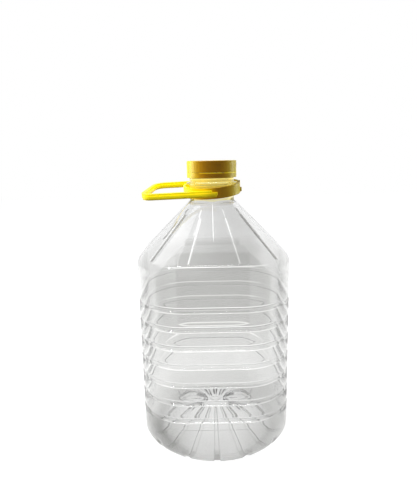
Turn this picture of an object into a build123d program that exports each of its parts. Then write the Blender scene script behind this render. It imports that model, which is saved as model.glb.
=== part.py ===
# Five-litre plastic demijohn with a screw cap and a ring-mounted carrying handle
# Origin at the middle of the standing ring, +Z up, the flat front face towards -Y
import os
from math import atan2, cos, hypot, radians, sin, sqrt, tan

from build123d import *

os.makedirs("parts", exist_ok=True)

# Body of the bottle
body_width = 155.0
corner_radius = 50.0
body_wall = 0.5

# Shoulder, from the knee above the body to the root of the neck
shoulder_foot = 203.6
shoulder_rise = 53.9
shoulder_top_width = 50.0
shoulder_top_corner = 20.0
knee_radius = 12.0
knee_steps = 3

# Grooves round the body, counted from the top one down
groove_count = 7
groove_drop = 37.8
groove_lowest = 51.44
groove_width = 5.5
groove_depth = 2.0

# Flutes down the shoulder, one at each corner and two on each face
corner_flute_width = 3.4
corner_flute_depth = 1.1
face_flute_width = 2.2
face_flute_depth = 0.8
face_flute_angle = 18.0
flute_floor_share = 0.5
corner_flute_start = 0.19
corner_flute_end = 0.93
face_flute_start = 0.25
face_flute_end = 0.93

# Heel, standing ring and pushed-up bottom
heel_radius = 17.0
heel_inset = 10.3
heel_draft = 15.0
heel_steps = 3
rib_heel_steps = 2
ring_width = 4.7
punt_height = 22.0
punt_steps = 2
rib_punt_steps = 1
button_radius = 10.0
button_drop = 1.5
rib_count = 16
rib_depth = 2.0
rib_angle = 4.6
rib_flank_angle = 1.4
rib_start = 20.0
rib_height = 18.0

# Neck with its support ring and the bead that holds the tamper band
neck_length = 39.0
neck_radius = 23.2
bore_radius = 21.0
neck_flare = 3.0
support_ring_radius = 26.5
support_ring_drop = 20.8
support_ring_thickness = 2.0
support_ring_edge = 0.5
bead_radius = 24.5
bead_drop = 12.6
bead_height = 2.4
bead_land = 0.8

# Cap, its wad and the tamper band
cap_radius = 25.8
cap_rise = 3.0
cap_height = 11.5
cap_plate = 1.6
cap_skirt_wall = 1.2
cap_edge = 1.2
wad_play = 0.2
seal_gap = 0.05
band_height = 5.1
band_wall = 1.0
band_lip = 1.0
band_play = 0.3
bridge_count = 12
bridge_width = 1.4
bridge_depth = 0.8
bridge_height = 0.35
bridge_gap = 0.05

# Carrying handle: a collar under the support ring and a loop hinged on it
collar_drop = 4.5
collar_radius = 29.8
collar_height = 10.8
collar_below = 5.8
collar_wall = 2.0
collar_lip = 2.0
collar_lip_drop = 4.2
collar_play = 1.1
handle_tilt = 6.5
handle_droop = 3.5
handle_yaw = -8.0
loop_reach = 69.9
loop_play = 0.6
loop_width = 3.6
loop_height = 6.4
loop_flange = 1.6
loop_flange_tail = 4.2
loop_groove = 0.8
loop_recess = 0.9
loop_foot = 1.6
loop_foot_recess = 0.6
loop_corner = 13.0
loop_tail = 9.6
loop_tail_slant = 1.2
stud_radius = 2.0
stud_clearance = 0.05
stud_end_play = 0.1
tab_width = 3.0
tab_thickness = 1.3
tab_rise = 1.6
nib_reach = 1.4
nib_height = 4.0
nib_drop = 2.7

# Room that a cutting tool takes beyond the stock
overrun = 5.0

half_width = body_width / 2
half_top = shoulder_top_width / 2
slope = atan2(half_width - half_top, shoulder_rise)
heel_reach = half_width - heel_inset
ring_inner = heel_reach - ring_width
groove_top = shoulder_foot - groove_drop
groove_pitch = (groove_top - groove_lowest) / (groove_count - 1)
shoulder_top = shoulder_foot + shoulder_rise
neck_height = shoulder_top + neck_length
support_ring_base = neck_height - support_ring_drop
bead_base = neck_height - bead_drop
collar_middle = support_ring_base - collar_drop
cap_top = neck_height + cap_rise
cap_line = cap_top - cap_height
cap_inner = cap_radius - cap_skirt_wall
wad_base = neck_height + seal_gap
wad_top = cap_top - cap_plate - seal_gap
handle_plane = Plane.XY.offset(collar_middle).rotated((handle_tilt, -handle_droop, handle_yaw))


# A station is the half width, the height and the tilt of the wall there, in radians
def body_stations():
    stations = [(half_width, 0.0, 0.0)]
    for turn in reversed(range(groove_count)):
        upper = groove_top - turn * groove_pitch
        stations.append((half_width, upper - groove_width, 0.0))
        stations.append((half_width - groove_depth, upper - groove_width / 2, 0.0))
        stations.append((half_width, upper, 0.0))
    knee_start = shoulder_foot - knee_radius * tan(slope / 2)
    for step in range(knee_steps + 1):
        angle = slope * step / knee_steps
        half = half_width - knee_radius * (1 - cos(angle))
        stations.append((half, knee_start + knee_radius * sin(angle), angle))
    stations.append((half_top, shoulder_top, slope))
    return stations


# Corner radius of the section whose outer half width is given
def section_corner(half):
    share = (half - half_top) / (half_width - half_top)
    return shoulder_top_corner + share * (corner_radius - shoulder_top_corner)


# Body and shoulder as one form, set in from the outer surface
def body_form(inset):
    with BuildPart() as form:
        for half, height, angle in body_stations():
            width = 2 * (half - inset * cos(angle))
            corner = section_corner(half) if angle else corner_radius - half_width + half
            with BuildSketch(Plane.XY.offset(height - inset * sin(angle))):
                RectangleRounded(width, width, corner - inset * cos(angle))
        loft(ruled=True)
    return form.part


# Turned form of the heel, bent in short cones that meet the corners of the body above
def heel_form(inset, steps):
    bend = heel_radius - inset
    profile = [(0, inset)]
    for step in range(steps + 1):
        angle = radians((90 - heel_draft) * step / steps)
        profile.append((heel_reach + bend * sin(angle), heel_radius - bend * cos(angle)))
    rise = shoulder_top - profile[-1][1]
    profile.append((profile[-1][0] + rise * tan(radians(heel_draft)), shoulder_top))
    profile.append((0, shoulder_top))
    with BuildPart() as form:
        with BuildSketch(Plane.XZ):
            with BuildLine():
                Polyline(*profile, close=True)
            make_face()
        revolve(axis=Axis.Z)
    return form.part


# Dome pushed up into the bottom, with its flat button in the middle
def punt_form(inset, steps):
    dome = (ring_inner**2 + punt_height**2) / (2 * punt_height)
    centre = punt_height - dome
    radius = dome + inset
    edge = sqrt(radius**2 - (inset - centre) ** 2)
    button = button_radius - inset
    button_base = punt_height - button_drop + inset
    profile = [(0, -overrun), (edge, -overrun)]
    for step in range(steps + 1):
        reach = edge + (button - edge) * step / steps
        profile.append((reach, centre + sqrt(radius**2 - reach**2)))
    profile += [(button, button_base), (0, button_base)]
    with BuildPart() as form:
        with BuildSketch(Plane.XZ):
            with BuildLine():
                Polyline(*profile, close=True)
            make_face()
        revolve(axis=Axis.Z)
    return form.part


# Radial wedges that cut the ribs, higher under the dome than at the heel
def rib_wedges(inset):
    half_angle = radians(rib_angle / 2 + (rib_flank_angle if inset else 0.0))
    reach = half_width * sqrt(2)
    with BuildPart() as wedges:
        for start, end, top in (
            (rib_start - inset, heel_reach, punt_height + 2 * rib_depth),
            (heel_reach, reach, rib_height + inset),
        ):
            with BuildSketch(Plane.XY.offset(-overrun)):
                with PolarLocations(0, rib_count):
                    Polygon(
                        (start, -start * tan(half_angle)),
                        (end, -end * tan(half_angle)),
                        (end, end * tan(half_angle)),
                        (start, start * tan(half_angle)),
                        align=None,
                    )
            extrude(amount=top + overrun)
    return wedges.part


# Bottle below the neck, without its ribs and flutes
def plain_form(inset, heel_bends, punt_bends):
    with BuildPart() as form:
        add(body_form(inset))
        add(heel_form(inset, heel_bends), mode=Mode.INTERSECT)
        add(punt_form(inset, punt_bends), mode=Mode.SUBTRACT)
    return form.part


# Bars that press the flutes into the shoulder, along one line each
def flute_bars(inset):
    bars = []
    corner_foot = half_width * sqrt(2) - corner_radius * (sqrt(2) - 1)
    corner_head = half_top * sqrt(2) - shoulder_top_corner * (sqrt(2) - 1)
    face_foot = half_width / cos(radians(face_flute_angle))
    face_head = half_top / cos(radians(face_flute_angle))
    kinds = (
        (corner_foot, corner_head, (45,), corner_flute_width, corner_flute_depth,
         corner_flute_start, corner_flute_end),
        (face_foot, face_head, (-face_flute_angle, face_flute_angle), face_flute_width,
         face_flute_depth, face_flute_start, face_flute_end),
    )
    for foot, head, angles, width, depth, start, end in kinds:
        floor_half = (flute_floor_share * width + inset) / 2
        mouth_half = width - flute_floor_share * width / 2 + inset
        run = hypot(foot - head, shoulder_rise)
        along = Vector((foot - head) / run, 0, -shoulder_rise / run)
        outward = Vector(-along.Z, 0, along.X)
        root = Vector(head, 0, shoulder_top) + along * (run * start) - outward * (depth + inset)
        with BuildPart() as tool:
            with BuildSketch(Plane(origin=root, x_dir=outward, z_dir=along)):
                Polygon(
                    (0, -floor_half),
                    (0, floor_half),
                    (2 * (depth + inset), mouth_half),
                    (2 * (depth + inset), -mouth_half),
                    align=None,
                )
            extrude(amount=run * (end - start))
        for angle in angles:
            for quarter in range(4):
                bars.append(tool.part.rotate(Axis.Z, angle + 90 * quarter))
    return bars


# Whole shape of the bottle below the neck
def bottle_form(inset):
    with BuildPart() as grooves:
        add(rib_wedges(inset))
        add(plain_form(inset + rib_depth, rib_heel_steps, rib_punt_steps), mode=Mode.SUBTRACT)
    with BuildPart() as form:
        add(plain_form(inset, heel_steps, punt_steps))
        add(grooves.part, mode=Mode.SUBTRACT)
        add(flute_bars(inset), mode=Mode.SUBTRACT)
    return form.part


# Neck turned in one profile, from the flare to the mouth
def neck_form():
    ring_top = support_ring_base + support_ring_thickness
    with BuildPart() as form:
        with BuildSketch(Plane.XZ):
            with BuildLine():
                Polyline(
                    (0, shoulder_top - overrun),
                    (half_top, shoulder_top - overrun),
                    (half_top, shoulder_top),
                    (neck_radius, shoulder_top + neck_flare),
                    (neck_radius, support_ring_base),
                    (support_ring_radius - support_ring_edge, support_ring_base),
                    (support_ring_radius, support_ring_base + support_ring_edge),
                    (support_ring_radius, ring_top - support_ring_edge),
                    (support_ring_radius - support_ring_edge, ring_top),
                    (neck_radius, ring_top + support_ring_edge),
                    (neck_radius, bead_base),
                    (bead_radius, bead_base),
                    (bead_radius, bead_base + bead_land),
                    (neck_radius, bead_base + bead_height),
                    (neck_radius, neck_height),
                    (0, neck_height),
                    close=True,
                )
            make_face()
        revolve(axis=Axis.Z)
    return form.part


# Bottle, blown in one piece
outer_form = bottle_form(0.0)
cavity_form = bottle_form(body_wall)
neck_solid = neck_form()
with BuildPart() as bottle:
    add(outer_form)
    add(neck_solid)
    add(cavity_form, mode=Mode.SUBTRACT)
    with BuildSketch(Plane.XY.offset(shoulder_top - overrun)):
        Circle(bore_radius)
    extrude(amount=neck_height - shoulder_top + 2 * overrun, mode=Mode.SUBTRACT)
bottle.part.label = "bottle"
export_step(bottle.part, "parts/bottle.step")

# Cap, open at its foot
with BuildPart() as cap:
    with BuildSketch(Plane.XY.offset(cap_line)):
        Circle(cap_radius)
    extrude(amount=cap_top - cap_line)
    chamfer(cap.faces().sort_by(Axis.Z)[-1].edges(), length=cap_edge / 2)
    with BuildSketch(Plane.XY.offset(cap_line)):
        Circle(cap_inner)
    extrude(amount=cap_top - cap_plate - cap_line, mode=Mode.SUBTRACT)
cap.part.label = "cap"
export_step(cap.part, "parts/cap.step")

# Foam wad that seals the mouth inside the cap
with BuildPart() as cap_wad:
    with BuildSketch(Plane.XY.offset(wad_base)):
        Circle(cap_inner - wad_play)
    extrude(amount=wad_top - wad_base)
cap_wad.part.label = "cap_wad"
export_step(cap_wad.part, "parts/cap_wad.step")

# Tamper band with its catch lip and the bridges up to the cap
band_top = cap_line - bridge_height - bridge_gap
band_base = band_top - band_height
with BuildPart() as tamper_band:
    with BuildSketch(Plane.XY.offset(band_base)):
        Circle(cap_radius)
        Circle(cap_radius - band_wall, mode=Mode.SUBTRACT)
    extrude(amount=band_height)
    with BuildSketch(Plane.XY.offset(band_base)):
        Circle(cap_radius - band_wall / 2)
        Circle(neck_radius + band_play, mode=Mode.SUBTRACT)
    extrude(amount=band_lip)
    with BuildSketch(Plane.XY.offset(band_top)):
        with PolarLocations(cap_radius - band_wall / 2, bridge_count):
            Rectangle(bridge_depth, bridge_width)
    extrude(amount=bridge_height)
tamper_band.part.label = "tamper_band"
export_step(tamper_band.part, "parts/tamper_band.step")

# Collar that snaps under the support ring, with a tab and a nib at its right side
collar_top = collar_height - collar_below
lip_radius = neck_radius + collar_play
with BuildPart() as handle_collar:
    with BuildSketch(handle_plane.offset(-collar_below)):
        Circle(collar_radius)
        Circle(collar_radius - collar_wall, mode=Mode.SUBTRACT)
    extrude(amount=collar_height)
    with BuildSketch(handle_plane.offset(collar_top - collar_lip_drop - collar_lip)):
        Circle(collar_radius - collar_wall / 2)
        Circle(lip_radius, mode=Mode.SUBTRACT)
    extrude(amount=collar_lip)
    with BuildSketch(handle_plane.offset(collar_top)):
        with Locations((collar_radius - tab_thickness / 2, 0)):
            Rectangle(tab_thickness, tab_width)
    extrude(amount=tab_rise)
    with BuildSketch(handle_plane.offset(-nib_drop - nib_height / 2)):
        with Locations((collar_radius - collar_wall / 2, 0)):
            Rectangle(nib_reach + collar_wall / 2, tab_width, align=(Align.MIN, Align.CENTER))
    extrude(amount=nib_height)
    side_plane = Plane(origin=handle_plane.origin, x_dir=handle_plane.x_dir, z_dir=handle_plane.y_dir)
    with BuildSketch(side_plane):
        Circle(stud_radius + stud_clearance)
    extrude(amount=collar_radius + overrun, both=True, mode=Mode.SUBTRACT)
handle_collar.part.label = "handle_collar"
export_step(handle_collar.part, "parts/handle_collar.step")


# Bow of the loop in plan: two arms along the neck and a bar across their ends
def loop_plan(recess, tail):
    inner = collar_radius + loop_play + recess
    outer = collar_radius + loop_play + loop_width - recess
    bar_inner = loop_reach - loop_width + recess
    with BuildSketch() as plan:
        RectangleRounded(2 * (loop_reach - recess), 2 * outer, loop_corner - recess)
        RectangleRounded(2 * bar_inner, 2 * inner, loop_corner - loop_width + recess, mode=Mode.SUBTRACT)
        with Locations((tail, 0)):
            Rectangle(2 * loop_reach, 3 * outer, align=(Align.MIN, Align.CENTER), mode=Mode.SUBTRACT)
    return plan.sketch


# Carrying loop with a grooved section and two studs that turn in the collar
loop_rib = loop_height - loop_foot - loop_groove - loop_flange
loop_layers = (
    (loop_foot, loop_foot_recess, loop_tail - loop_tail_slant),
    (loop_rib, 0.0, loop_tail),
    (loop_groove, loop_recess, loop_tail),
    (loop_flange, 0.0, loop_flange_tail),
)
stud_root = collar_radius + loop_play + loop_recess
stud_end = collar_radius - collar_wall - stud_end_play
with BuildPart() as handle_loop:
    layer_base = -loop_height / 2
    for thickness, recess, tail in loop_layers:
        with BuildSketch(handle_plane.offset(layer_base)):
            add(loop_plan(recess, tail))
        extrude(amount=thickness)
        layer_base += thickness
    for side in (-1, 1):
        stud_origin = handle_plane.from_local_coords(Vector(0, side * stud_end, 0))
        stud_plane = Plane(origin=stud_origin, x_dir=handle_plane.x_dir, z_dir=handle_plane.y_dir * side)
        with BuildSketch(stud_plane):
            Circle(stud_radius)
        extrude(amount=stud_root - stud_end)
handle_loop.part.label = "handle_loop"
export_step(handle_loop.part, "parts/handle_loop.step")
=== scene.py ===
# Looks of the clear demijohn: its walls, cap, band and carrying handle, in metres
from math import atan2, cos, degrees, hypot, pi, radians, sin, sqrt, tan

import bpy
import numpy as np
from mathutils import Matrix, Vector


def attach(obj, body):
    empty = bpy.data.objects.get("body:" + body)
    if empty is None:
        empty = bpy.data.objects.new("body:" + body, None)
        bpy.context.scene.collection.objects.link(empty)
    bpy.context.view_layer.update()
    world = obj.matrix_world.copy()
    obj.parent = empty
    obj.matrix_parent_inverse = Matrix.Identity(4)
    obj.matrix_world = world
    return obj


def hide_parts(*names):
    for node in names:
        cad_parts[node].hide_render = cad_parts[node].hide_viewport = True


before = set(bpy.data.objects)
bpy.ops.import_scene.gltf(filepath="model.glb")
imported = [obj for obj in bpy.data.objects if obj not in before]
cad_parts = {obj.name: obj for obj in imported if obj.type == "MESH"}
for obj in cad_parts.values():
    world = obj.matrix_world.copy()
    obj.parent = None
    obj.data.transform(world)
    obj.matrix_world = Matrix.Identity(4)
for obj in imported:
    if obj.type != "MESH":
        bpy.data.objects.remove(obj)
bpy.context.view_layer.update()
mm = 0.001
black = (0.0, 0.0, 0.0, 1.0)
white = (1.0, 1.0, 1.0, 1.0)
print("frame loaded:", len(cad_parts), "nodes")


# Shader maths: a socket that adds nodes when it is used in an expression
class Value:
    def __init__(self, nodes, socket):
        self.nodes = nodes
        self.socket = socket

    def math(self, operation, *others):
        made = self.nodes.add("ShaderNodeMath", {"operation": operation}, dict(enumerate((self, *others))))
        return Value(self.nodes, made.outputs[0])

    def __add__(self, other):
        return self.math("ADD", other)

    def __radd__(self, other):
        return self.math("ADD", other)

    def __sub__(self, other):
        return self.math("SUBTRACT", other)

    def __rsub__(self, other):
        return (self * -1.0).math("ADD", other)

    def __mul__(self, other):
        return self.math("MULTIPLY", other)

    def __rmul__(self, other):
        return self.math("MULTIPLY", other)

    def __truediv__(self, other):
        return self.math("DIVIDE", other)

    def ramp(self, low, high):
        # 0 below low, 1 above high, smooth between
        made = self.nodes.add("ShaderNodeMapRange", {"interpolation_type": "SMOOTHSTEP"},
                              {"Value": self, "From Min": low, "From Max": high})
        return Value(self.nodes, made.outputs["Result"])

    def between(self, low, high, soft):
        return self.ramp(low - soft, low + soft) * (1 - self.ramp(high - soft, high + soft))

    def line(self, width, edge):
        # 1 where the value is within width of 0, nothing past edge
        return 1 - self.math("ABSOLUTE").ramp(width, edge)

    def repeat(self, start, spacing):
        # distance from the nearest of the marks that start at start and lie spacing apart
        return (self - start).math("PINGPONG", spacing / 2)


# The nodes of a material or of the world, all added by one method
class NodeSet:
    def __init__(self, owner):
        owner.use_nodes = True
        self.tree = owner.node_tree
        self.tree.nodes.clear()

    def add(self, kind, settings=None, sockets=None):
        made = self.tree.nodes.new(kind)
        for name, value in (settings or {}).items():
            setattr(made, name, value)
        for name, value in (sockets or {}).items():
            self.plug(made.inputs[name], value)
        return made

    def plug(self, socket, value):
        if isinstance(value, Value):
            value = value.socket
        if isinstance(value, bpy.types.NodeSocket):
            self.tree.links.new(value, socket)
        else:
            socket.default_value = value

    def backdropRays(self):
        # 1 for the rays that see the white backdrop, 0 for those that only light the pieces
        path = self.add("ShaderNodeLightPath")
        camera, glossy, through = (Value(self, path.outputs[f"Is {kind} Ray"])
                                   for kind in ("Camera", "Glossy", "Transmission"))
        return (camera + glossy + through).math("MINIMUM", 1.0)


# A material under construction: its nodes and its Principled shader
class MaterialNodes(NodeSet):
    def __init__(self, name):
        self.material = bpy.data.materials.new(name)
        super().__init__(self.material)
        self.shader = self.add("ShaderNodeBsdfPrincipled")
        self.add("ShaderNodeOutputMaterial", sockets={"Surface": self.shader.outputs["BSDF"]})

    def place(self):
        spot = self.add("ShaderNodeTexCoord").outputs["Object"]
        split = self.add("ShaderNodeSeparateXYZ", sockets={"Vector": spot})
        return spot, [Value(self, split.outputs[axis]) for axis in "XYZ"]

    def noise(self, spot, scale, detail=3.0):
        made = self.add("ShaderNodeTexNoise", sockets={"Vector": spot, "Scale": scale, "Detail": detail})
        return Value(self, made.outputs["Fac"])

    def attribute(self, name):
        return Value(self, self.add("ShaderNodeAttribute", {"attribute_name": name}).outputs["Fac"])

    def mixColour(self, share, first, second):
        # sockets 0, 6 and 7 are the factor and the two colours
        made = self.add("ShaderNodeMix", {"data_type": "RGBA"}, {0: share, 6: first, 7: second})
        return made.outputs[2]

    def set(self, sockets):
        for name, value in sockets.items():
            self.plug(self.shader.inputs[name], value)

    def bump(self, height, strength, distance):
        made = self.add("ShaderNodeBump",
                        sockets={"Height": height, "Strength": strength, "Distance": distance})
        self.set({"Normal": made.outputs["Normal"]})


# sRGB as seen in the photograph, to the linear values that shaders take
def colour(red, green, blue):
    def linear(part):
        part = part / 255
        return part / 12.92 if part <= 0.04045 else ((part + 0.055) / 1.055) ** 2.4

    return (linear(red), linear(green), linear(blue), 1.0)


# Places in the materials are in metres, like the objects
clearPlastic = {
    "clear": (0.97, 0.972, 0.972, 1.0),
    # grey of the painted shade that stands for the darker surroundings seen through the walls
    "paintedShade": (0.30, 0.30, 0.285, 1.0),
    "neckYellowLight": (0.98, 0.87, 0.30, 1.0),   # painted light that the yellow parts send through the neck
    "neckYellowLightShare": 0.9,
    "neckShine": 0.08,
    "roughness": 0.03,
    "bendingIndex": 1.45,
    # how much painted shade each stretch of wall gets, from 0, clear, to 1, full painted shade
    "frontShade": 0.33,
    "backShade": 0.36,
    "upperShade": 0.15,       # added above the middle of the back wall
    "shoulderShade": 0.20,    # back slope of the shoulder
    "slopeShade": 0.32,       # front slope of the shoulder, fading to both sides
    "slopeRightLoss": 0.75,
    "heelShade": 0.42,        # added round the front of the heel
    "heelRightLoss": 0.62,
    "backHeelShade": 0.16,
    "edgeLoss": 0.2,          # less on the outermost sides
    "bottomShade": 0.05,
    "bottomRimShade": 0.22,
    "fluteShade": 0.75,
    "heelLineShade": 0.3,
    "cloudShade": 0.06,
    "cloudSize": 30.0,
    # panels of darker painted shade on the back wall, whose tops drop towards their sides past the bend
    "panels": {
        "wide": {"shade": 0.17, "half": 0.071, "soft": 0.002, "base": 0.0, "top": 0.1845, "fade": 0.0025,
                 "bend": 0.045, "drop": 0.02},
        "narrow": {"shade": 0.08, "half": 0.0475, "soft": 0.001, "base": 0.0, "top": 0.1945, "fade": 0.001,
                   "bend": 0.036, "drop": 0.008},
        "brow": {"shade": 0.25, "half": 0.035, "soft": 0.002, "base": 0.1945, "top": 0.2045, "fade": 0.001,
                 "bend": 0.03, "drop": 0.0},
    },
    # where each change of shade sets in and where it is complete
    "fades": {
        # from the front half to the back half, and from a corner of the shoulder onto its face
        "back": (-0.004, 0.004),
        "slopeCorner": (-0.004, 0.002),
        # upwards
        "shoulder": (0.187, 0.214),
        "upper": (0.03, 0.115),
        "heel": (0.02, 0.06),
        "backHeel": (0.006, 0.03),
        "bottom": (0.021, 0.026),
        "edgeHeight": (0.03, 0.08),
        # towards the right
        "slopeLeft": (-0.035, 0.02),
        "slopeRight": (0.035, 0.05),
        "heelRight": (0.0, 0.06),
        "shineRight": (0.0, 0.02),
        # from the middle towards both sides
        "heelSides": (0.015, 0.06),
        "edgeSides": (0.062, 0.076),
        "heelLineSides": (0.03, 0.036),
        "grooveSides": (0.045, 0.068),
        "kneeSides": (0.035, 0.055),
        # outwards from the axis
        "bottomEdge": (0.058, 0.066),
        "bottomRim": (0.02, 0.062),
    },
    # bright lines of painted highlight and dark lines: half width, and where the line ends
    "grooveLine": (0.0001, 0.0005),
    "grooveFootLine": (0.00005, 0.0004),
    "kneeLine": (0.0001, 0.0005),
    "partingLine": (0.0001, 0.0004),
    "lineOffset": 0.0001,     # how far outside a groove's edges its lines lie
    "heelLineHeight": 0.0385,
    "kneeHeight": 0.2045,
    "grooveSpan": (0.0455, 0.1685, 0.0006),    # from, to and softness
    "partingSpan": (0.226, 0.256, 0.004),
    "neckSpan": (0.2625, 0.2855, 0.0015),
    "lineShine": 0.36,
    "fluteShine": 0.36,
    "footLineShare": 0.6,
    "kneeLineShare": 0.7,
    "grooveSideLoss": 0.8,
    "shineRightLoss": 0.5,
}


def makeClearPlastic():
    look, fades = clearPlastic, clearPlastic["fades"]
    finish = MaterialNodes("clear_plastic")
    spot, (x, y, z) = finish.place()
    side, reach = x.math("ABSOLUTE"), (x * x + y * y).math("SQRT")
    # painted shade and painted highlights that the points of the wall carry
    shade = finish.attribute("shade")
    shine = finish.attribute("shine") * (1 - x.ramp(*fades["shineRight"]) * look["shineRightLoss"])
    back = y.ramp(*fades["back"])
    front = 1 - back
    high = z.ramp(*fades["shoulder"])
    bottom = (1 - z.ramp(*fades["bottom"])) * (1 - reach.ramp(*fades["bottomEdge"]))

    # painted shade of the back wall: its panels fade to the bottom
    panels = look["upperShade"]
    for panel in look["panels"].values():
        half, soft, top, fade = panel["half"], panel["soft"], panel["top"], panel["fade"]
        level = z + side.ramp(panel["bend"], half + soft / 2) * panel["drop"]
        inside = (1 - side.ramp(half - soft, half + soft)) * (1 - level.ramp(top - fade, top + fade))
        inside = inside * z.ramp(panel["base"] - fade, panel["base"] + fade)
        panels = inside * panel["shade"] + panels
    rear = panels * z.ramp(*fades["upper"]) + look["backShade"]
    rear = rear * (1 - high) + high * look["shoulderShade"]
    rear = rear + (1 - z.ramp(*fades["backHeel"])) * look["backHeelShade"]

    # painted shade of the front wall
    face = (y.math("ABSOLUTE") - side).ramp(*fades["slopeCorner"]) * x.ramp(*fades["slopeLeft"])
    face = face * (1 - x.ramp(*fades["slopeRight"]) * look["slopeRightLoss"])
    heel = (1 - z.ramp(*fades["heel"])) * side.ramp(*fades["heelSides"])
    heel = heel * (1 - x.ramp(*fades["heelRight"]) * look["heelRightLoss"])
    fore = face * high * look["slopeShade"] + (1 - high) * look["frontShade"] + heel * look["heelShade"]

    paintedShade = rear * back + fore * front
    edge = side.ramp(*fades["edgeSides"]) * z.ramp(*fades["edgeHeight"])
    paintedShade = paintedShade * (1 - edge * look["edgeLoss"]) * (1 - bottom)
    paintedShade = paintedShade + bottom * (reach.ramp(*fades["bottomRim"]) * look["bottomRimShade"] + look["bottomShade"])
    # a darker line across the middle of the front, where the heel begins
    heelLine = (z - look["heelLineHeight"]).line(*look["partingLine"]) * (1 - side.ramp(*fades["heelLineSides"])) * front
    clouds = (finish.noise(spot, look["cloudSize"]) - 0.5) * look["cloudShade"]
    paintedShade = paintedShade + shade * look["fluteShade"] + heelLine * look["heelLineShade"] + clouds
    paintedShade = (paintedShade * (1 - shine)).math("MAXIMUM", 0.0)

    # painted highlights: bright lines on both edges of each groove, at the knee and along the parting line
    pitch = bottleSize["groovePitch"] * mm
    start = bottleSize["grooveTop"] * mm + look["lineOffset"] - (bottleSize["grooves"] + 1) * pitch
    foot = start - bottleSize["grooveWidth"] * mm - look["lineOffset"]
    lines = z.repeat(start, pitch).line(*look["grooveLine"])
    lines = lines + z.repeat(foot, pitch).line(*look["grooveFootLine"]) * look["footLineShare"]
    lines = lines * z.between(*look["grooveSpan"])
    lines = lines * (1 - side.ramp(*fades["grooveSides"]) * look["grooveSideLoss"])
    knee = (z - look["kneeHeight"]).line(*look["kneeLine"]) * (1 - side.ramp(*fades["kneeSides"])) * front
    parting = x.line(*look["partingLine"]) * z.between(*look["partingSpan"]) * front
    glow = (lines + knee * look["kneeLineShare"] + parting) * look["lineShine"] + shine * look["fluteShine"]

    # painted light: the neck takes the yellow of the parts round it
    neck = z.between(*look["neckSpan"])
    plain = finish.mixColour(neck * look["neckYellowLightShare"], look["clear"], look["neckYellowLight"])
    pale = finish.mixColour(glow, black, white)
    finish.set({
        "Base Color": finish.mixColour(paintedShade, plain, look["paintedShade"]),
        "Roughness": look["roughness"],
        "IOR": look["bendingIndex"],
        "Transmission Weight": 1.0,
        "Emission Color": finish.mixColour(neck * look["neckShine"], pale, look["neckYellowLight"]),
        "Emission Strength": 1.0,
    })
    return finish.material


yellowPlastic = {
    "lit": colour(250, 231, 10),
    "deep": colour(242, 212, 6),
    "front": colour(214, 150, 2),     # painted shade, deeper towards the front
    # colour of the painted light
    "glow": colour(255, 240, 18),
    "mottleSize": 60.0,
    "mottle": (0.35, 0.7),
    "roughness": 0.28,
    "roughnessSpread": 0.12,
    "roughnessSize": 140.0,
    "specular": 0.22,
    "grainSize": 900.0,
    "grainHeight": 0.00004,
    "grainStrength": 0.25,
    "frontTurn": (0.0, 0.55),         # how far round from the front the painted shade goes
    "frontReach": (0.0235, 0.0255),   # from the inside outwards
    # ridges round the cap
    "knurls": 90,
    "knurlHeight": 2.0,
    "knurlReach": (0.0252, 0.0256),
    "knurlSpan": (0.2895, 0.2985, 0.0003),
    # painted light: a broken bright line at the top rim of the band
    "rimGlow": 0.4,
    "rimStart": (0.2868, 0.2873),
    "rimEnd": (0.2877, 0.288),
    "rimSize": 220.0,
    "rimBreaks": (0.38, 0.5),
    # painted light: the collar and the loop glow, most above the handle's plane and to the left
    "paintedGlow": {
        "handle_collar": {"glow": 0.42, "rightLoss": 1.0, "front": 0.9},
        "handle_loop": {"glow": 0.52, "rightLoss": 0.7, "front": 0.2},
    },
    "planeAxis": (-0.061049, -0.112992, 0.991719),
    "planeHeight": 0.2712,
    "planeFade": (-0.003, 0.0006),
    "underShare": 0.15,
    "rightFade": (-0.012, 0.006),
}


def makeYellowPlastic(nodeName):
    look = yellowPlastic
    finish = MaterialNodes("yellow_" + nodeName)
    spot, (x, y, z) = finish.place()
    reach = (x * x + y * y).math("SQRT")
    mottle = finish.noise(spot, look["mottleSize"]).ramp(*look["mottle"])
    plain = finish.mixColour(mottle, look["lit"], look["deep"])
    grain = finish.noise(spot, look["grainSize"], 2.0)
    # painted shade: the colour deepens towards the front
    frontPaintedShade = (1 - (y / reach + 1.0).ramp(*look["frontTurn"])) * reach.ramp(*look["frontReach"])
    if nodeName in look["paintedGlow"]:
        paintedGlow = look["paintedGlow"][nodeName]
        axisX, axisY, axisZ = look["planeAxis"]
        lift = x * axisX + y * axisY + (z - look["planeHeight"]) * axisZ
        lit = lift.ramp(*look["planeFade"]) * (1 - look["underShare"]) + look["underShare"]
        lit = lit * (1 - x.ramp(*look["rightFade"]) * paintedGlow["rightLoss"]) * paintedGlow["glow"]
        frontPaintedShade = frontPaintedShade * paintedGlow["front"]
    else:
        breaks = finish.noise(spot, look["rimSize"]).ramp(*look["rimBreaks"])
        lit = z.ramp(*look["rimStart"]) * (1 - z.ramp(*look["rimEnd"])) * breaks * look["rimGlow"]
        ridges = (y.math("ARCTAN2", x) * (look["knurls"] / 2)).math("SINE") * reach.ramp(*look["knurlReach"])
        grain = grain + ridges * z.between(*look["knurlSpan"]) * look["knurlHeight"]
    finish.set({
        "Base Color": finish.mixColour(frontPaintedShade, plain, look["front"]),
        "Roughness": finish.noise(spot, look["roughnessSize"]) * look["roughnessSpread"] + look["roughness"],
        "Specular IOR Level": look["specular"],
        "Emission Color": finish.mixColour(lit, black, look["glow"]),
        "Emission Strength": 1.0,
    })
    finish.bump(grain, look["grainStrength"], look["grainHeight"])
    return finish.material


whiteFoam = {
    "light": (0.9, 0.9, 0.88, 1.0),
    "dark": (0.78, 0.78, 0.76, 1.0),
    "roughness": 0.8,
    "cells": 1500.0,
    "cellStrength": 0.5,
    "cellDepth": 0.0001,
}


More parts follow.
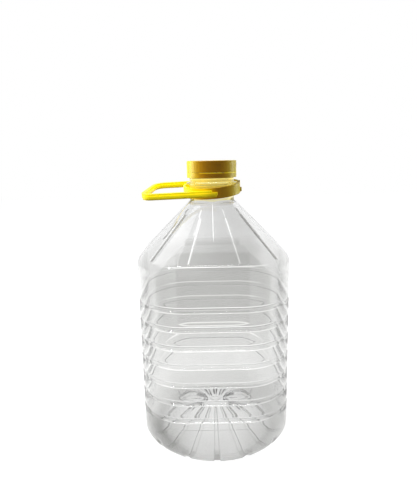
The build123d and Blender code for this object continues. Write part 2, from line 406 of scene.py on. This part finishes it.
def makeWhiteFoam():
    look = whiteFoam
    finish = MaterialNodes("white_foam")
    spot = finish.place()[0]
    cells = finish.add("ShaderNodeTexVoronoi", sockets={"Vector": spot, "Scale": look["cells"]})
    depth = Value(finish, cells.outputs["Distance"])
    finish.set({
        "Base Color": finish.mixColour(depth, look["light"], look["dark"]),
        "Roughness": look["roughness"],
    })
    finish.bump(depth, look["cellStrength"], look["cellDepth"])
    return finish.material


# Sizes of the bottle as the solids have them, in millimetres and degrees; a lip is how far outside and
# inside its edge a cut begins and has its full depth
bottleSize = {
    "width": 155.0, "corner": 50.0, "wall": 0.5,
    "shoulderFoot": 203.6, "shoulderTop": 257.5, "topWidth": 50.0, "topCorner": 20.0, "knee": 12.0,
    "grooves": 7, "grooveTop": 165.8, "groovePitch": 19.06, "grooveWidth": 5.5, "grooveDepth": 2.0,
    "grooveLip": (-0.15, 1.75),
    "heelRadius": 17.0, "heelReach": 67.2, "heelDraft": 15.0, "heelBlend": 1.6,
    "ringInner": 62.5, "puntHeight": 22.0, "button": 10.0, "buttonDrop": 1.5,
    # ribShade is the strength of the painted shade along the ribs' edges
    "ribs": 16, "ribDepth": 2.2, "ribAngle": 4.6, "ribLip": (-0.5, 0.6), "ribShade": 0.9,
    "ribStart": 14.0, "ribStartFade": 4.0, "ribHeight": 18.0, "ribTopFade": 6.0, "heelRibShare": 0.45,
    "neck": 23.2, "bore": 21.0, "neckTop": 296.5, "neckFoot": 261.8, "flare": 3.0, "flareRings": 6,
    "ringRadius": 26.5, "ringBase": 275.7, "ringThickness": 2.0,
    "beadRadius": 24.5, "beadBase": 283.9, "beadHeight": 2.4,
    "threadStart": 288.7, "threadPitch": 4.0, "threadTurns": 1.35, "threadWidth": 1.9, "threadHeight": 1.0,
    "threadRoom": 1.2, "threadFlank": 0.8, "threadRunOut": 1 / 12, "threadRelief": 0.4,
    "sampleRadius": 34.0,    # nearer the axis the samples of the shoulder keep their angles
}
# Flutes of the shoulder; start and end are shares of the way down its slope, and floors, bright edges and
# lips are measured inwards from the flute's edge. The corner flutes get a floor of painted shade with
# painted highlights along their edges, the face flutes a floor of painted highlight
flutes = {
    "corner": {"angles": (45, 135, 225, 315), "width": 3.4, "depth": 0.7, "start": 0.19, "end": 0.93,
               "lip": (-0.3, 0.6), "endLip": (-0.8, 0.8), "samples": (0.9, 1.55, 2.1, 2.8),
               "shadedFloor": (-0.1, 0.4), "edgeAt": -0.4, "edgeWidth": 0.7, "edgeShine": 0.25},
    "face": {"angles": (-18, 18, 72, 108, 162, 198, 252, 288), "width": 2.2, "depth": 0.6, "start": 0.25,
             "end": 0.93, "lip": (-0.3, 0.6), "endLip": (-0.8, 0.8), "samples": (0.5, 1.0, 1.45, 2.0),
             "litFloor": (0.45, 1.05)},
}
size = bottleSize
halfWidth = size["width"] / 2
halfTop = size["topWidth"] / 2
slope = atan2(halfWidth - halfTop, size["shoulderTop"] - size["shoulderFoot"])
slopeRun = hypot(halfWidth - halfTop, size["shoulderTop"] - size["shoulderFoot"])


# 0 below low, 1 above high, smooth between
def ease(value, low, high):
    share = np.clip((value - low) / (high - low), 0, 1)
    return share * share * (3 - 2 * share)


def softMin(first, second, blend):
    share = np.clip(0.5 + 0.5 * (second - first) / blend, 0, 1)
    return second * (1 - share) + first * share - blend * share * (1 - share)


# Distance from the axis to a rounded square, in the direction of each angle
def roundedSquare(angles, half, corner):
    turn = np.abs((angles + pi / 4) % (pi / 2) - pi / 4)
    flat = half - corner
    side = half / np.cos(turn)
    onFlat = side * np.sin(turn) <= flat
    middle = flat * (np.cos(turn) + np.sin(turn))
    reach = middle + np.sqrt(np.maximum(middle**2 - 2 * flat**2 + corner**2, 0))
    return np.where(onFlat, side, reach)


# One ring of the outer surface; half is its radius, or half its width where it is square
class PointRing:
    def __init__(self, kind, height, half, extra=0.0):
        self.kind = kind
        self.height = height
        self.half = half
        self.extra = extra    # corner radius on the body, share of the turn on the flare


# Rings of the neck, from the mouth down over the bead and the support ring
def neckRings():
    top, neck, thread = size["neckTop"], size["neck"], size["neck"] - size["threadRelief"]
    threadLow = size["threadStart"] - size["threadRoom"]
    bead, beadBase = size["beadRadius"], size["beadBase"]
    ring, ringBase = size["ringRadius"], size["ringBase"]
    ringTop = ringBase + size["ringThickness"]
    corners = [(size["bore"] + size["wall"], top), (thread - 0.5, top), (thread, top - 0.5)]
    corners += [(thread, z) for z in np.arange(top - 0.9, threadLow, -0.4)]
    corners += [(thread, threadLow), (neck, beadBase + size["beadHeight"])]
    corners += [(bead - 0.15, beadBase + 0.9), (bead, beadBase + 0.6), (bead, beadBase + 0.15)]
    corners += [(bead - 0.3, beadBase), (neck + 0.2, beadBase), (neck, beadBase - 0.3)]
    corners += [(neck, ringTop + 1.2), (neck + 0.25, ringTop + 0.4), (neck + 0.7, ringTop + 0.05)]
    corners += [(ring - 0.6, ringTop), (ring - 0.15, ringTop - 0.2), (ring, ringTop - 0.6)]
    corners += [(ring, ringBase + 0.6), (ring - 0.15, ringBase + 0.2), (ring - 0.6, ringBase)]
    corners += [(neck + 0.6, ringBase - 0.05), (neck + 0.15, ringBase - 0.4), (neck, ringBase - 1.2)]
    corners += [(neck, z) for z in (272.0, 268.0, 264.0, size["neckFoot"])]
    return [PointRing("neck", z, r) for r, z in corners]


# Rings of the shoulder: the flare under the neck, the slope and the knee over the body
def shoulderRings():
    rings = []
    for share in np.linspace(0, 1, size["flareRings"]):
        turn = share * pi / 2
        height = size["shoulderTop"] + size["flare"] * (1 - sin(turn))
        radius = size["neck"] + (halfTop - size["neck"]) * (1 - cos(turn))
        rings.append(PointRing("flare", height, radius, share))
    knee = size["knee"] * tan(slope / 2)
    shares = np.concatenate(((0.04, 0.1), np.linspace(0.15, 0.3, 13), np.linspace(0.38, 0.84, 7),
                             np.linspace(0.875, 0.975, 10)))
    for share in shares[shares < 1 - knee / slopeRun]:
        height = size["shoulderTop"] - (size["shoulderTop"] - size["shoulderFoot"]) * share
        rings.append(PointRing("slope", height, halfTop + (halfWidth - halfTop) * share))
    for share in np.linspace(1, 0, 9):
        turn = slope * share
        height = size["shoulderFoot"] - knee + size["knee"] * sin(turn)
        rings.append(PointRing("slope", height, halfWidth - size["knee"] * (1 - cos(turn))))
    return rings


grooveMiddles = [size["grooveTop"] - turn * size["groovePitch"] - size["grooveWidth"] / 2
                 for turn in range(size["grooves"])]


def grooveCut(height):
    inward = max(size["grooveWidth"] / 2 - abs(height - middle) for middle in grooveMiddles)
    return size["grooveDepth"] * float(ease(inward, *size["grooveLip"]))


# Rings of the body, close together over each groove
def bodyRings():
    heights = [190.0, 178.0]
    steps = (0.5, 1.1, 1.7, 2.3, 2.9, 3.4)
    for middle in grooveMiddles:
        heights += [middle + 6.0] + [middle + step for step in reversed(steps)]
        heights += [middle - step for step in steps]
    return [PointRing("body", z, halfWidth - grooveCut(z), size["corner"] - grooveCut(z)) for z in heights]


# Height and radius of the heel's outline, for its turning angle from the floor up
def heelPoint(turn):
    bend = size["heelRadius"]
    draft = radians(size["heelDraft"])
    last = pi / 2 - draft
    rise = max(turn - last, 0.0) * bend    # past the bend the outline goes on straight
    turn = min(turn, last)
    return (bend * (1 - cos(turn)) + rise * cos(draft),
            size["heelReach"] + bend * sin(turn) + rise * sin(draft))


# Rings of the heel, the standing ring, the pushed-up bottom and the button in its middle
def footRings():
    rings = [PointRing("heel", *heelPoint(turn))
             for turn in np.concatenate((np.linspace(3.0, 1.45, 12), np.linspace(1.36, 0.0, 18)))]
    rings += [PointRing("ring", 0.0, size["heelReach"] + (size["ringInner"] - size["heelReach"]) * share)
              for share in (0.25, 0.5, 0.75)]
    dome = (size["ringInner"] ** 2 + size["puntHeight"] ** 2) / (2 * size["puntHeight"])
    centre = size["puntHeight"] - dome
    button = size["button"]
    for reach in np.concatenate((np.linspace(size["ringInner"], 24, 16), np.linspace(22, button + 0.4, 9))):
        rings.append(PointRing("dome", centre + sqrt(dome**2 - reach**2), reach))
    top = size["puntHeight"] - size["buttonDrop"]
    corners = [(button, 0.5), (button - 0.6, 0.1), (button - 1.4, 0.0), (5.0, 0.0), (2.6, 0.0)]
    corners += [(2.0, -0.5), (1.4, -1.0), (0.6, -1.2)]    # the small dimple left by the moulding
    return rings + [PointRing("button", top + lift, reach) for reach, lift in corners]


# Angles of the samples round a ring, closer where something narrow runs across it
def shoulderAngles(ring):
    radius = size["sampleRadius"] if ring.kind == "neck" else max(ring.half, size["sampleRadius"])
    angles = []
    for flute in flutes.values():
        steps = [degrees(step / radius) for step in flute["samples"]]
        spread = [-step for step in steps] + [0.0] + steps
        angles += [centre + step for centre in flute["angles"] for step in spread]
    fill = (-9.5, -5, 0, 5, 9.5, 26, 29.5, 33, 37, 53, 57, 60.5, 64)
    angles += [quarter + step for quarter in (0, 90, 180, 270) for step in fill]
    return np.radians(angles)


ribStep = 360 / size["ribs"]
bodyFill = (0, 6, 12, 17, 20, 22.5, 25, 27.5, 30, 33, 36, 39, 42, 45)
bodyFill += tuple(90 - step for step in bodyFill[1:-1])
ribFill = (-3.4, -2.7, -2.1, -1.4, 0.0, 1.4, 2.1, 2.7, 3.4, 7.5, 11.25, 15.0)
bodyAngles = np.radians([quarter + step for quarter in (0, 90, 180, 270) for step in bodyFill])
footAngles = np.radians([rib * ribStep + step for rib in range(size["ribs"]) for step in ribFill])


# How far down the slope a ring lies
def slopeShare(ring):
    return (ring.half - halfTop) / (halfWidth - halfTop)


def ringPoints(ring, angles):
    if ring.kind in ("neck", "ring", "dome", "button"):
        radius = np.full(len(angles), ring.half)
    elif ring.kind == "flare":
        square = roundedSquare(angles, halfTop, size["topCorner"])
        radius = ring.half + (square - halfTop) * ease(ring.extra, 0, 1)
    elif ring.kind == "slope":
        corner = size["topCorner"] + slopeShare(ring) * (size["corner"] - size["topCorner"])
        radius = roundedSquare(angles, ring.half, corner)
    elif ring.kind == "body":
        radius = roundedSquare(angles, ring.half, ring.extra)
    else:
        radius = softMin(roundedSquare(angles, halfWidth, size["corner"]), ring.half, size["heelBlend"])
    return np.stack([radius * np.cos(angles), radius * np.sin(angles), np.full(len(angles), ring.height)], 1)


# Marks give, for every sample of a ring, its cut, its painted shade and its painted highlight
def fluteMarks(ring, angles, points):
    cut, shade, shine = np.zeros((3, len(angles)))
    if ring.kind != "slope":
        return cut, shade, shine
    share = slopeShare(ring)
    radius = np.hypot(points[:, 0], points[:, 1])
    for flute in flutes.values():
        ends = min(share - flute["start"], flute["end"] - share) * slopeRun
        along = float(ease(ends, *flute["endLip"]))
        for centre in flute["angles"]:
            away = np.abs((angles - radians(centre) + pi) % (2 * pi) - pi) * radius
            inward = flute["width"] / 2 - away    # how far inside the flute's edge
            cut = np.maximum(cut, flute["depth"] * along * ease(inward, *flute["lip"]))
            if "shadedFloor" in flute:
                edge = 1 - np.abs(inward - flute["edgeAt"]) / flute["edgeWidth"]
                shade = np.maximum(shade, along * ease(inward, *flute["shadedFloor"]))
                shine = np.maximum(shine, along * ease(edge, 0, 1) * flute["edgeShine"])
            else:
                shine = np.maximum(shine, along * ease(inward, *flute["litFloor"]))
    return cut, shade, shine


def threadCut(ring, angles):
    ridge = np.zeros(len(angles))
    if ring.kind != "neck" or ring.height < size["threadStart"] - size["threadRoom"]:
        return ridge
    turns = (ring.height - size["threadStart"]) / size["threadPitch"]
    for whole in (-1, 0, 1, 2):
        place = angles / (2 * pi) + whole
        fromEnds = np.minimum(place, size["threadTurns"] - place)
        inside = ease(fromEnds, 0, size["threadRunOut"])
        away = np.abs(turns - place) * size["threadPitch"]
        ridge = np.maximum(ridge, inside * ease(size["threadWidth"] / 2 - away, 0, size["threadFlank"]))
    return -size["threadHeight"] * ridge


def upperMarks(ring, angles, points):
    cut, shade, shine = fluteMarks(ring, angles, points)
    return cut + threadCut(ring, angles), shade, shine


def bodyMarks(ring, angles, points):
    return np.zeros((3, len(angles)))


def ribShare(ring, angles):
    if ring.kind in ("heel", "ring"):
        along = size["heelRibShare"] * float(ease(size["ribHeight"] - ring.height, 0, size["ribTopFade"]))
    elif ring.kind == "dome":
        along = float(ease(ring.half - size["ribStart"], 0, size["ribStartFade"]))
    else:
        along = 0.0
    away = np.abs((np.degrees(angles) + ribStep / 2) % ribStep - ribStep / 2)
    return along * ease(size["ribAngle"] / 2 - away, *size["ribLip"])


# painted shade along the ribs' edges, over the bottom and on the front half of the heel
def footMarks(ring, angles, points):
    share = ribShare(ring, angles)
    near = 1.0 if ring.kind == "dome" else np.sin(angles) < 0
    shade = share * (1 - share) * size["ribShade"] * near
    return size["ribDepth"] * share, shade, np.zeros(len(angles))


# Surface normals of a patch of rings, one row a ring, closed round the axis
def patchNormals(points):
    down = np.gradient(points, axis=0)
    around = np.roll(points, -1, 1) - np.roll(points, 1, 1)
    normal = np.cross(around, -down)
    length = np.linalg.norm(normal, axis=2, keepdims=True)
    return normal / np.maximum(length, 1e-9)


# A patch is its points, the angles of each of its rings, and the painted tones, shade and highlight, of each
# point
def makePatch(rings, anglesOf, marksOf):
    points, marks, angles = [], [], []
    for ring in rings:
        ringAngles = np.sort(anglesOf(ring) % (2 * pi))
        spots = ringPoints(ring, ringAngles)
        points.append(spots)
        marks.append(marksOf(ring, ringAngles, spots))
        angles.append(ringAngles)
    points = np.array(points)
    cuts, shades, shines = np.array(marks).transpose(1, 0, 2)
    return points - patchNormals(points) * cuts[:, :, None], angles, np.stack((shades, shines), 2)


# Inside the neck the surface is the bore, whose plain rings replace those of the neck and half the flare
def withBore(patch):
    points, angles, tones = patch
    circle = angles[0]
    across = [size["bore"] * np.cos(circle), size["bore"] * np.sin(circle)]
    heights = (size["neckTop"] - size["wall"], 290.0, 280.0, 270.0, 263.0, 260.0)
    bore = np.array([np.stack([*across, np.full(len(circle), height)], 1) for height in heights])
    keep = len(neckRings()) + size["flareRings"] // 2
    return (np.concatenate((bore, points[keep:])), [circle] * len(bore) + angles[keep:],
            np.concatenate((np.zeros((len(bore), *tones.shape[1:])), tones[keep:])))


# Faces between two rings that may have different counts, walked round by angle
def stitch(firstStart, firstAngles, secondStart, secondAngles):
    faces, i, j = [], 0, 0
    n, m = len(firstAngles), len(secondAngles)
    while i < n or j < m:
        nextFirst = firstAngles[(i + 1) % n] + (2 * pi if i + 1 >= n else 0)
        nextSecond = secondAngles[(j + 1) % m] + (2 * pi if j + 1 >= m else 0)
        a, b = firstStart + i % n, secondStart + j % m
        if j >= m or (i < n and nextFirst <= nextSecond):
            faces.append((a, b, firstStart + (i + 1) % n))
            i += 1
        else:
            faces.append((a, b, secondStart + (j + 1) % m))
            j += 1
    return faces


def stripFaces(start, rings, count):
    faces = []
    for row in range(rings - 1):
        for step in range(count):
            a = start + row * count + step
            b = start + row * count + (step + 1) % count
            faces.append((a, a + count, b + count, b))
    return faces


# One side of the wall: its patches stitched to one another, and a fan that closes the button
def wallSide(patches, start):
    points, tones, faces, last = [], [], [], None
    for patch, angles, tone in patches:
        rows, count = patch.shape[:2]
        faces += stripFaces(start, rows, count)
        if last is not None:
            faces += stitch(*last, start, angles[0])
        points.append(patch.reshape(-1, 3))
        tones.append(tone.reshape(-1, 2))
        last = (start + (rows - 1) * count, angles[-1])
        start += rows * count
    ringStart, count = last[0], len(last[1])
    points.append(points[-1][-count:].mean(0)[None, :])
    tones.append(np.zeros((1, 2)))
    faces += [(ringStart + step, start, ringStart + (step + 1) % count) for step in range(count)]
    return np.concatenate(points), np.concatenate(tones), faces


def buildBottle(material):
    outer = [
        makePatch(neckRings() + shoulderRings(), shoulderAngles, upperMarks),
        makePatch(bodyRings(), lambda ring: bodyAngles, bodyMarks),
        makePatch(footRings(), lambda ring: footAngles, footMarks),
    ]
    inner = [(patch - patchNormals(patch) * size["wall"], angles, tone) for patch, angles, tone in outer]
    inner[0] = withBore(inner[0])
    outPoints, outTones, outFaces = wallSide(outer, 0)
    inStart, count = len(outPoints), len(outer[0][1][0])
    inPoints, inTones, inFaces = wallSide(inner, inStart)
    faces = outFaces + [tuple(reversed(face)) for face in inFaces]
    # the mouth's rim joins the two sides
    for step in range(count):
        after = (step + 1) % count
        faces.append((step, after, inStart + after, inStart + step))

    mesh = bpy.data.meshes.new("bottle_wall")
    mesh.from_pydata((np.concatenate((outPoints, inPoints)) * mm).tolist(), [], faces)
    mesh.validate()
    mesh.shade_smooth()
    mesh.materials.append(material)
    for name, tones in zip(("shade", "shine"), np.concatenate((outTones, inTones)).T):
        mesh.attributes.new(name, "FLOAT", "POINT").data.foreach_set("value", tones.astype(np.float32))
    piece = bpy.data.objects.new("bottle_wall", mesh)
    bpy.context.scene.collection.objects.link(piece)
    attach(piece, "bottle")
    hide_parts("bottle")
    print("bottle:", len(mesh.polygons), "faces")
    return piece


bottleWall = buildBottle(makeClearPlastic())
foamWhite = makeWhiteFoam()
for nodeName in ("cap", "tamper_band", "handle_collar", "handle_loop", "cap_wad"):
    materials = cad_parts[nodeName].data.materials
    materials.clear()
    materials.append(foamWhite if nodeName == "cap_wad" else makeYellowPlastic(nodeName))
print("materials assigned")

# The photograph's camera: height, distance and pitch come from fitting the evenly spaced grooves
cameraView = {
    "height": 0.302, "distance": 0.4563, "side": -0.0048, "pitch": 12.06, "roll": 1.1,
    "focalPixels": 430.0, "framePixels": 500.0, "sensor": 36.0,
}


def makeCamera():
    data = bpy.data.cameras.new("camera")
    data.sensor_width = cameraView["sensor"]
    data.lens = cameraView["focalPixels"] / cameraView["framePixels"] * cameraView["sensor"]
    data.clip_start = 0.01
    camera = bpy.data.objects.new("camera", data)
    bpy.context.scene.collection.objects.link(camera)
    pitch, roll = radians(cameraView["pitch"]), radians(cameraView["roll"])
    ahead = Vector((0, cos(pitch), -sin(pitch)))
    right = Vector((1, 0, 0))
    up = right.cross(ahead) * cos(roll) + right * sin(roll)
    turn = Matrix((ahead.cross(up), up, -ahead)).transposed().to_4x4()
    turn.translation = (cameraView["side"], -cameraView["distance"], cameraView["height"])
    camera.matrix_world = turn
    bpy.context.scene.camera = camera


stage = {
    "floorSize": 6.0,
    "floorDrop": 0.0003,      # keeps the floor from touching the standing ring
    "floorGlow": 0.94,
    "floorShade": 0.5,        # how strongly the shadow shows
    "bounce": 0.35,           # light that the floor gives back to the pieces
    "ambient": 0.12,
}


def makeFloor():
    mesh = bpy.data.meshes.new("floor")
    half = stage["floorSize"] / 2
    corners = [(-half, -half, 0), (half, -half, 0), (half, half, 0), (-half, half, 0)]
    mesh.from_pydata(corners, [], [(0, 1, 2, 3)])
    piece = bpy.data.objects.new("floor", mesh)
    piece.location.z = -stage["floorDrop"]
    bpy.context.scene.collection.objects.link(piece)
    material = bpy.data.materials.new("floor_white")
    nodes = NodeSet(material)

    def matt(grey):
        return nodes.add("ShaderNodeBsdfDiffuse", sockets={"Color": (grey, grey, grey, 1.0)}).outputs[0]

    glow = nodes.add("ShaderNodeEmission", sockets={"Color": white, "Strength": stage["floorGlow"]})
    seen = nodes.add("ShaderNodeAddShader", sockets={0: matt(stage["floorShade"]), 1: glow.outputs[0]})
    mixed = nodes.add("ShaderNodeMixShader",
                      sockets={0: nodes.backdropRays(), 1: matt(stage["bounce"]), 2: seen.outputs[0]})
    nodes.add("ShaderNodeOutputMaterial", sockets={"Surface": mixed.outputs[0]})
    mesh.materials.append(material)


def makeWorld():
    world = bpy.data.worlds.new("white_world")
    bpy.context.scene.world = world
    nodes = NodeSet(world)
    strength = nodes.backdropRays() * (1 - stage["ambient"]) + stage["ambient"]
    back = nodes.add("ShaderNodeBackground", sockets={"Color": white, "Strength": strength})
    nodes.add("ShaderNodeOutputWorld", sockets={"Surface": back.outputs[0]})


# Each lamp lights either the clear bottle or the rest
lampAim = (0.0, 0.0, 0.18)
lamps = {
    "left": {"at": (-0.85, 0.22, 0.5), "size": (0.5, 0.8), "watts": 8.5, "lights": "rest"},
    "right": {"at": (0.85, 0.32, 0.5), "size": (0.4, 0.8), "watts": 4.0, "lights": "rest"},
    "top": {"at": (-0.55, -0.03, 1.05), "size": (0.6, 0.6), "watts": 6.0, "lights": "rest"},
    "gloss": {"at": (-0.55, -0.03, 1.05), "size": (0.6, 0.6), "watts": 3.4, "lights": "bottle"},
    "strip": {"at": (0.0, -0.55, 1.0), "size": (0.7, 0.05), "watts": 2.0, "lights": "bottle"},
    "spark": {"at": (-0.6, -0.6, 0.85), "size": (0.12, 0.12), "watts": 2.6, "lights": "bottle"},
}


def makeLamps():
    def receivers(name, state):
        group = bpy.data.collections.new(name)
        group.objects.link(bottleWall)
        group.collection_objects[0].light_linking.link_state = state
        return group

    groups = {"bottle": receivers("clear_pieces", "INCLUDE"), "rest": receivers("other_pieces", "EXCLUDE")}
    for name, lamp in lamps.items():
        data = bpy.data.lights.new("lamp_" + name, "AREA")
        data.shape = "RECTANGLE"
        data.size, data.size_y = lamp["size"]
        data.energy = lamp["watts"]
        piece = bpy.data.objects.new("lamp_" + name, data)
        bpy.context.scene.collection.objects.link(piece)
        piece.location = lamp["at"]
        aim = Vector(lampAim) - Vector(lamp["at"])
        piece.rotation_euler = aim.to_track_quat("-Z", "Y").to_euler()
        piece.visible_camera = False
        piece.visible_transmission = False
        piece.light_linking.receiver_collection = groups[lamp["lights"]]


makeCamera()
makeFloor()
makeWorld()
makeLamps()
bpy.context.scene.view_settings.view_transform = "Standard"
print("camera, stage and lamps ready")
